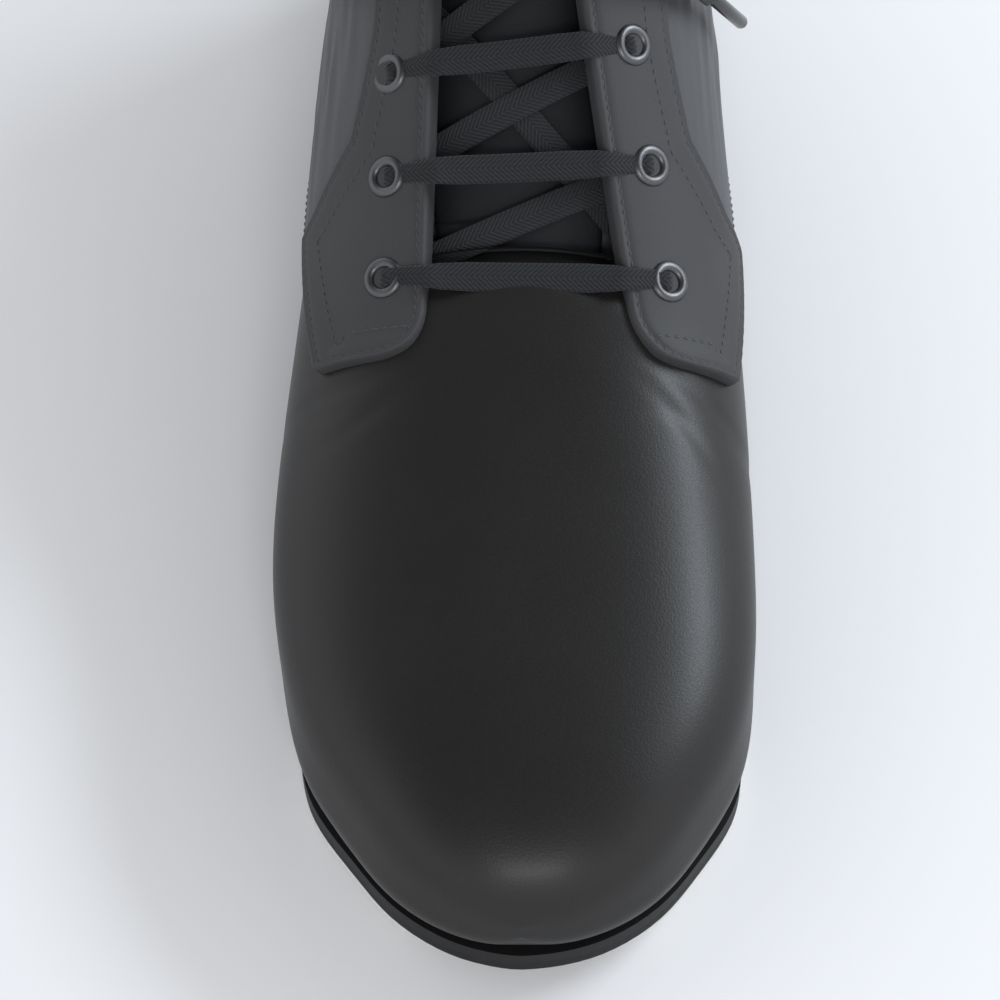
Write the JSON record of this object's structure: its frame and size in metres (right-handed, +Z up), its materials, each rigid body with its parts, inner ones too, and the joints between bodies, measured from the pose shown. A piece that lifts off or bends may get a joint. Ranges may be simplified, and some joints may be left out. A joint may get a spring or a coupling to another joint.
{
  "type": "bowling shoe",
  "caption": "Laced derby-pattern bowling shoe for the right foot: plain toe, padded quarters, metal eyelets, flat lace in a bow, thin slide sole and low heel.",
  "frame": {"origin": "on the ground under the middle of the shoe's length and width, without the free lace ends", "axes": "+Z up, toe towards -Y, medial (big toe) side towards +X"},
  "size_m": [0.1098, 0.298, 0.1201],
  "materials": {
    "vamp_leather": "smooth, semi-matt",
    "facing_leather": "smooth, matt",
    "quarter_leather": "soft, padded, wrinkled",
    "tongue_leather": "smooth, matt",
    "lining": "knitted",
    "interlining": "non-woven",
    "stiffener": "thermoplastic sheet",
    "foam": "open-cell foam",
    "footbed": "cloth-covered foam",
    "insole_board": "fibre board",
    "cork": "cork paste",
    "shank_steel": "spring steel",
    "sole_board": "matt",
    "rubber_sole": "matt",
    "slide_microfibre": "brushed microfibre",
    "nail_steel": "plain",
    "eyelet_metal": "gunmetal plated",
    "lace_cord": "flat woven",
    "aglet_plastic": "clear-coated black"
  },
  "bodies": {
    "shoe": {"outsole": "rubber_sole", "heel_top_piece": "rubber_sole", "heel_block": "sole_board", "midsole": "sole_board", "slide_pad": "slide_microfibre", "heel_nails": "nail_steel", "shank": "shank_steel", "bottom_filler": "cork", "insole_board": "insole_board", "footbed": "footbed", "vamp": "vamp_leather", "toe_puff": "stiffener", "vamp_interlining": "interlining", "vamp_lining": "lining", "heel_counter": "stiffener", "collar_foam": "foam", "collar_binding": "quarter_leather", "facing_medial": "facing_leather", "facing_lateral": "facing_leather", "facing_backing_medial": "interlining", "facing_backing_lateral": "interlining", "quarter_medial": "quarter_leather", "quarter_lateral": "quarter_leather", "quarter_padding_medial": "foam", "quarter_padding_lateral": "foam", "quarter_lining_medial": "lining", "quarter_lining_lateral": "lining", "backstay": "facing_leather", "tongue_root": "tongue_leather", "eyelets_medial": "eyelet_metal", "eyelets_lateral": "eyelet_metal", "lace_laced": "lace_cord", "lace_knot": "lace_cord", "lace_loop_medial": "lace_cord", "lace_loop_lateral": "lace_cord", "lace_end_medial": "lace_cord", "lace_end_lateral": "lace_cord", "aglet_medial": "aglet_plastic", "aglet_lateral": "aglet_plastic"},
    "tongue": {"tongue": "tongue_leather", "tongue_foam": "foam", "tongue_lining": "lining"}
  },
  "joints": [
    {"name": "tongue_hinge", "type": "hinge", "parent": "shoe", "child": "tongue", "pos_m": [0.0022, -0.01008, 0.06285], "axis": [-1, 0, 0], "range_deg": [0, 10], "stiffness_Nm_per_rad": 0.35}
  ]
}
